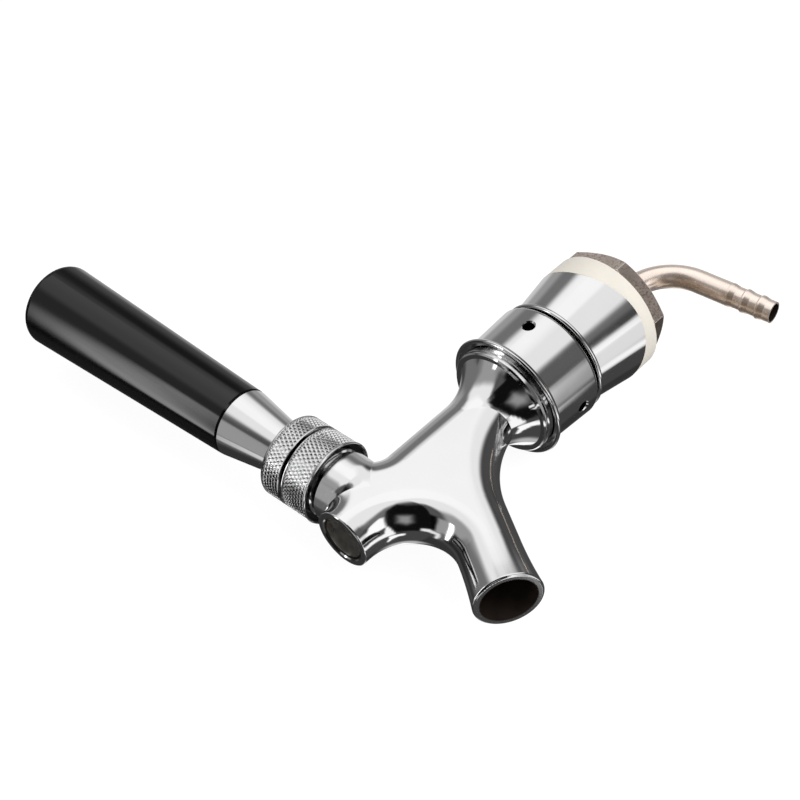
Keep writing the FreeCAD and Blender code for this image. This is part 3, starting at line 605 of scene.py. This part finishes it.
def threadedShank():
    low, high = shank["seat"] + shank["runOut"], shank["tail"] - shank["edge"]
    rows = round((high - low) / shank["pitch"] * shank["rowsPerTurn"])
    before = [(shank["mouth"], shank["gasket"]), (shank["head"], shank["gasket"]),
              (shank["head"], shank["headBack"]), (shank["step"], shank["headBack"]),
              (shank["step"], shank["seat"]), (shank["outer"], shank["seat"])]
    run = [(shank["outer"], low + (high - low) * k / rows) for k in range(rows + 1)]
    after = [(shank["outer"] - shank["edge"], shank["tail"]), (shank["socket"], shank["tail"]),
             (shank["socket"], shank["socketFloor"]), (shank["bore"], shank["socketFloor"]),
             (shank["bore"], shank["cone"]), (shank["mouth"], shank["mouthBack"])]
    rings = before + run + after

    def groove(i, j):
        if not len(before) <= i < len(before) + len(run):
            return 0
        height = rings[i][1]
        turn = (height / shank["pitch"] - j / shank["sides"]) % 1
        fadeOut = (high - height) / shank["fadeOut"] + shank["endDepth"]
        fade = min(1, (height - low) / shank["fadeIn"], fadeOut)
        return -shank["depth"] * max(0, 1 - abs(turn * 2 - 1) * shank["flank"]) * fade

    obj = turnedMesh("threaded_shank", rings, shank["sides"], origin, shankWay, groove)
    obj.data.materials.append(shankBrass)
    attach(obj, "tap")
    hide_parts("shank_tube")


threadedShank()
print("threaded shank made")

# Studio round the chrome: light and dark cards painted on a dome, seen only in reflections.
# Each card: outline in degrees (azimuth from +Y towards +Z, height towards +X), tone, softness.
# Later cards lie over earlier ones.
dome = {"radius": 3.0, "step": 3, "base": 0.28, "offEdge": 0.001, "gamma": 2.2}
studio = {
    "sideGrey": ([(14, 45), (110, 45), (124, -4), (104, -26), (22, -18)], 0.46, 12),
    "rightHaze": ([(97, 60), (158, 72), (152, 14), (124, 4), (112, 22), (98, 26)], 0.62, 16),
    "leftHaze": ([(-116, 74), (-84, 70), (-62, 46), (-66, 30), (-104, 42)], 0.45, 12),
    "ceiling": ([(-205, 105), (-205, 80), (-125, 79), (-98, 70), (-82, 54), (-66, 44), (-50, 46), (-28, 32),
                 (0, 29), (22, 28), (36, 34), (48, 39), (70, 39), (82, 27), (94, 27), (106, 42),
                 (132, 54), (154, 56), (166, 68), (205, 80), (205, 105)], 0.96, 14),
    "ceilingGlow": ([(-10, 105), (2, 68), (34, 46), (66, 45), (88, 60), (110, 105)], 1.04, 26),
    "frontGrey": ([(-36, 22), (14, 20), (20, -30), (-36, -34)], 0.30, 12),
    "lowLight": ([(24, -8), (70, -4), (62, -46), (42, -54), (30, -48)], 0.82, 20),
    "endGlow": ([(-66, 42), (-46, 44), (-48, 10), (-64, 10)], 0.38, 10),
    "sideGlow": ([(14, 11), (76, 11), (76, -12), (14, -12)], 0.62, 14),
    "softColumn": ([(-80, 14), (-56, 10), (-54, -14), (-62, -20), (-80, -20)], 0.63, 9),
    "lightColumn": ([(-82, 14), (-71, 19), (-63, 16), (-64, 6), (-66, -12), (-68, -24), (-82, -22)],
                    0.93, 6),
    "frontCard": ([(-205, 68), (-150, 68), (-122, 76), (-106, 60), (-108, 40), (-108, 8), (-120, -22),
                   (-205, -20)], 0.09, 7),
    "softFill": ([(-150, 10), (-150, 34), (-126, 38), (-124, 14), (-140, 2)], 0.58, 18),
    "window": ([(-106, 8), (-103, 42), (-95, 43), (-76, 28), (-70, 8), (-86, 2)], 1.06, 4),
    "strip": ([(-119, -27), (-113, -6), (-109, 8), (-104, 6), (-99, -14), (-60, -22), (-60, -31),
               (-100, -29)], 1.04, 3),
    "wedge": ([(-136, -33), (-112, -30), (-104, -31), (-103, -40), (-93, -52), (-97, -55), (-108, -47),
               (-120, -42), (-136, -39)], 1.06, 2),
    "endHaze": ([(160, 42), (167, 70), (205, 70), (205, 34), (163, 34)], 0.34, 9),
    "endCard": ([(169, 38), (205, 50), (205, -6), (169, -4)], 0.06, 8),
    "lowDark": ([(112, 6), (136, 8), (146, -10), (150, -30), (96, -36), (108, -14)], 0.18, 8),
    "backGrey": ([(148, 34), (166, 35), (171, 10), (171, -10), (160, -14), (152, -34), (146, -20),
                  (146, 8)], 0.62, 7),
    "backLow": ([(146, -8), (159, -8), (158, -30), (148, -32)], 0.40, 8),
    "backPanel": ([(141, 31), (147, 32), (149.5, 8), (149.5, -12), (148, -22), (143, -22), (142, -8),
                   (141, 8)], 1.80, 4),
    "gripShade": ([(37, 35), (49, 36), (49, 20), (36, 18)], 0.36, 5),
    "lowWhite": ([(160, -14), (205, -5), (205, -21), (168, -22), (167, -38), (160, -38), (158, -24)],
                 0.94, 4),
    "lowWhiteToo": ([(-205, -5), (-164, -10), (-164, -20), (-205, -21)], 0.96, 4),
    "underside": ([(-30, -44), (20, -60), (96, -46), (205, -34), (205, -105), (-60, -105)], 0.22, 12),
    "poleGlow": ([(-205, -105), (-205, -75), (205, -75), (205, -105)], 0.74, 14),
    "floorPatch": ([(16, -92), (24, -72), (42, -53), (60, -68), (72, -92)], 1.05, 4),
}


def insideBy(outline, x, y):
    # signed distance to a card's edge, positive inside
    inside, nearest = False, math.inf
    for i in range(len(outline)):
        (ax, ay), (bx, by) = outline[i - 1], outline[i]
        if (ay > y) != (by > y) and x < (bx - ax) * (y - ay) / (by - ay) + ax:
            inside = not inside
        share = intersect_point_line(Vector((x, y, 0)), Vector((ax, ay, 0)), Vector((bx, by, 0)))[1]
        share = min(1, max(0, share))
        nearest = min(nearest, math.hypot(ax + (bx - ax) * share - x, ay + (by - ay) * share - y))
    return nearest if inside else -nearest


def studioTone(azimuth, height):
    # a place is tested just beside its round number, so that it never lies on a corner
    tone = dome["base"]
    for outline, level, soft in studio.values():
        edge = insideBy(outline, azimuth + dome["offEdge"], height + dome["offEdge"])
        share = min(1, max(0, edge / soft + 0.5))
        tone += (level - tone) * share * share * (3 - 2 * share)
    return tone


def emptyTree(owner):
    owner.use_nodes = True
    owner.node_tree.nodes.clear()
    return owner.node_tree


def studioDome():
    step = dome["step"]
    columns, rows = 360 // step, 180 // step
    points, faces, tones = [], [], []
    for i in range(rows + 1):
        for j in range(columns):
            azimuth, height = -180 + j * step, 90 - i * step
            a, e = math.radians(azimuth), math.radians(height)
            way = Vector((math.sin(e), math.cos(e) * math.cos(a), math.cos(e) * math.sin(a)))
            points.append(centre + way * dome["radius"])
            tones.append(studioTone(azimuth, height))
    for i in range(rows):
        for j in range(columns):
            k = (j + 1) % columns
            faces.append((i * columns + j, i * columns + k, (i + 1) * columns + k, (i + 1) * columns + j))
    mesh = bpy.data.meshes.new("studioDome")
    mesh.from_pydata(points, [], faces)
    layer = mesh.attributes.new("tone", "FLOAT", "POINT")
    for item, tone in zip(layer.data, tones):
        item.value = tone ** dome["gamma"]
    for face in mesh.polygons:
        face.use_smooth = True
    obj = link("studioDome", mesh)
    mat = bpy.data.materials.new("studioCards")
    tree = emptyTree(mat)
    out = tree.nodes.new("ShaderNodeOutputMaterial")
    glow = tree.nodes.new("ShaderNodeEmission")
    tone = tree.nodes.new("ShaderNodeAttribute")
    tone.attribute_name = "tone"
    tree.links.new(tone.outputs["Fac"], glow.inputs["Color"])
    tree.links.new(glow.outputs[0], out.inputs["Surface"])
    mat.cycles.emission_sampling = "NONE"
    mesh.materials.append(mat)
    for ray in ("camera", "diffuse", "transmission", "shadow", "volume_scatter"):
        setattr(obj, "visible_" + ray, False)


studioDome()

# White room light: plain white where it is seen, a little less as light on the pieces
room = {"ambient": 0.85}
world = bpy.data.worlds.new("whiteRoom")
bpy.context.scene.world = world
tree = emptyTree(world)
out = tree.nodes.new("ShaderNodeOutputWorld")
path = tree.nodes.new("ShaderNodeLightPath")
ambient = tree.nodes.new("ShaderNodeBackground")
white = tree.nodes.new("ShaderNodeBackground")
choose = tree.nodes.new("ShaderNodeMixShader")
seen = tree.nodes.new("ShaderNodeMath")
seenToo = tree.nodes.new("ShaderNodeMath")
seen.operation = seenToo.operation = "MAXIMUM"
ambient.inputs["Color"].default_value = white.inputs["Color"].default_value = grey(1)
ambient.inputs["Strength"].default_value = room["ambient"]
tree.links.new(path.outputs["Is Camera Ray"], seen.inputs[0])
tree.links.new(path.outputs["Is Glossy Ray"], seen.inputs[1])
tree.links.new(seen.outputs[0], seenToo.inputs[0])
tree.links.new(path.outputs["Is Transmission Ray"], seenToo.inputs[1])
tree.links.new(seenToo.outputs[0], choose.inputs[0])
tree.links.new(ambient.outputs[0], choose.inputs[1])
tree.links.new(white.outputs[0], choose.inputs[2])
tree.links.new(choose.outputs[0], out.inputs["Surface"])

# Pale table that the faucet lies on, seen from its upper side only
table = {"height": -0.0197, "halfSize": 1.2, "glow": 0.92, "cover": 0.14}
mesh = bpy.data.meshes.new("paleTable")
mesh.from_pydata([(table["height"], a * table["halfSize"], b * table["halfSize"])
                  for a, b in ((-1, -1), (1, -1), (1, 1), (-1, 1))], [], [(0, 1, 2, 3)])
tableObj = link("paleTable", mesh)
mat = bpy.data.materials.new("paleTable")
tree = emptyTree(mat)
out = tree.nodes.new("ShaderNodeOutputMaterial")
cover = tree.nodes.new("ShaderNodeBsdfDiffuse")
glow = tree.nodes.new("ShaderNodeEmission")
paint = tree.nodes.new("ShaderNodeAddShader")
clear = tree.nodes.new("ShaderNodeBsdfTransparent")
sides = tree.nodes.new("ShaderNodeMixShader")
side = tree.nodes.new("ShaderNodeNewGeometry")
cover.inputs["Color"].default_value = grey(table["cover"])
glow.inputs["Strength"].default_value = table["glow"]
tree.links.new(cover.outputs[0], paint.inputs[0])
tree.links.new(glow.outputs[0], paint.inputs[1])
tree.links.new(side.outputs["Backfacing"], sides.inputs[0])
tree.links.new(paint.outputs[0], sides.inputs[1])
tree.links.new(clear.outputs[0], sides.inputs[2])
tree.links.new(sides.outputs[0], out.inputs["Surface"])
mesh.materials.append(mat)
tableObj.visible_glossy = False

# One broad lamp from above and to the handle's side
lamp = {"place": (0.85, 0.25, -0.45), "size": 0.9, "watts": 8}
light = bpy.data.lights.new("broadLamp", "AREA")
light.size = lamp["size"]
light.energy = lamp["watts"]
lightObj = link("broadLamp", light)
lightObj.location = lamp["place"]
lightObj.rotation_euler = (centre - Vector(lamp["place"])).to_track_quat("-Z", "Y").to_euler()
lightObj.visible_glossy = False
print("studio set up")
